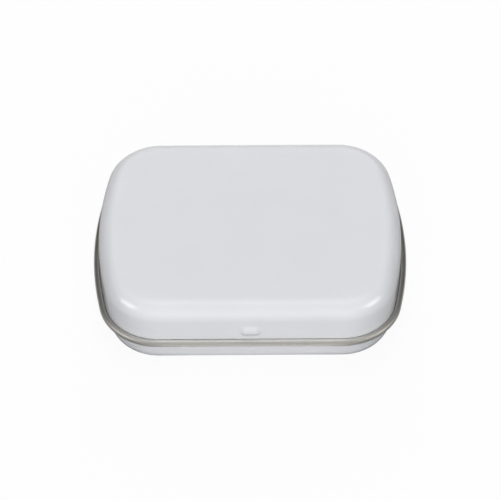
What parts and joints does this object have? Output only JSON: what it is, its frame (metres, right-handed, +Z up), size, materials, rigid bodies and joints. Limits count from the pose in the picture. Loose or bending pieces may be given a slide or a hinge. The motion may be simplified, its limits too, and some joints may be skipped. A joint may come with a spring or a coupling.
{
  "type": "hinged mint tin",
  "caption": "Small white lacquered tinplate mint tin with rounded corners, a bare rolled bead and a rear hinged lid.",
  "frame": {"origin": "centre of the tin's underside, on the surface that it stands on", "axes": "+X along the tin's width to the right, +Y towards the hinge at the rear, +Z up"},
  "size_m": [0.0624, 0.05, 0.0152],
  "materials": {
    "white_lacquer": "gloss",
    "steel_wire": "satin"
  },
  "bodies": {
    "base": {"base_shell": "white_lacquer", "hinge_wire": "steel_wire"},
    "lid": {"lid_shell": "white_lacquer"}
  },
  "joints": [
    {"name": "lid_hinge", "type": "hinge", "parent": "base", "child": "lid", "pos_m": [0, 0.02427, 0.0066], "axis": [-1, 0, 0], "range_deg": [0, 110]}
  ]
}
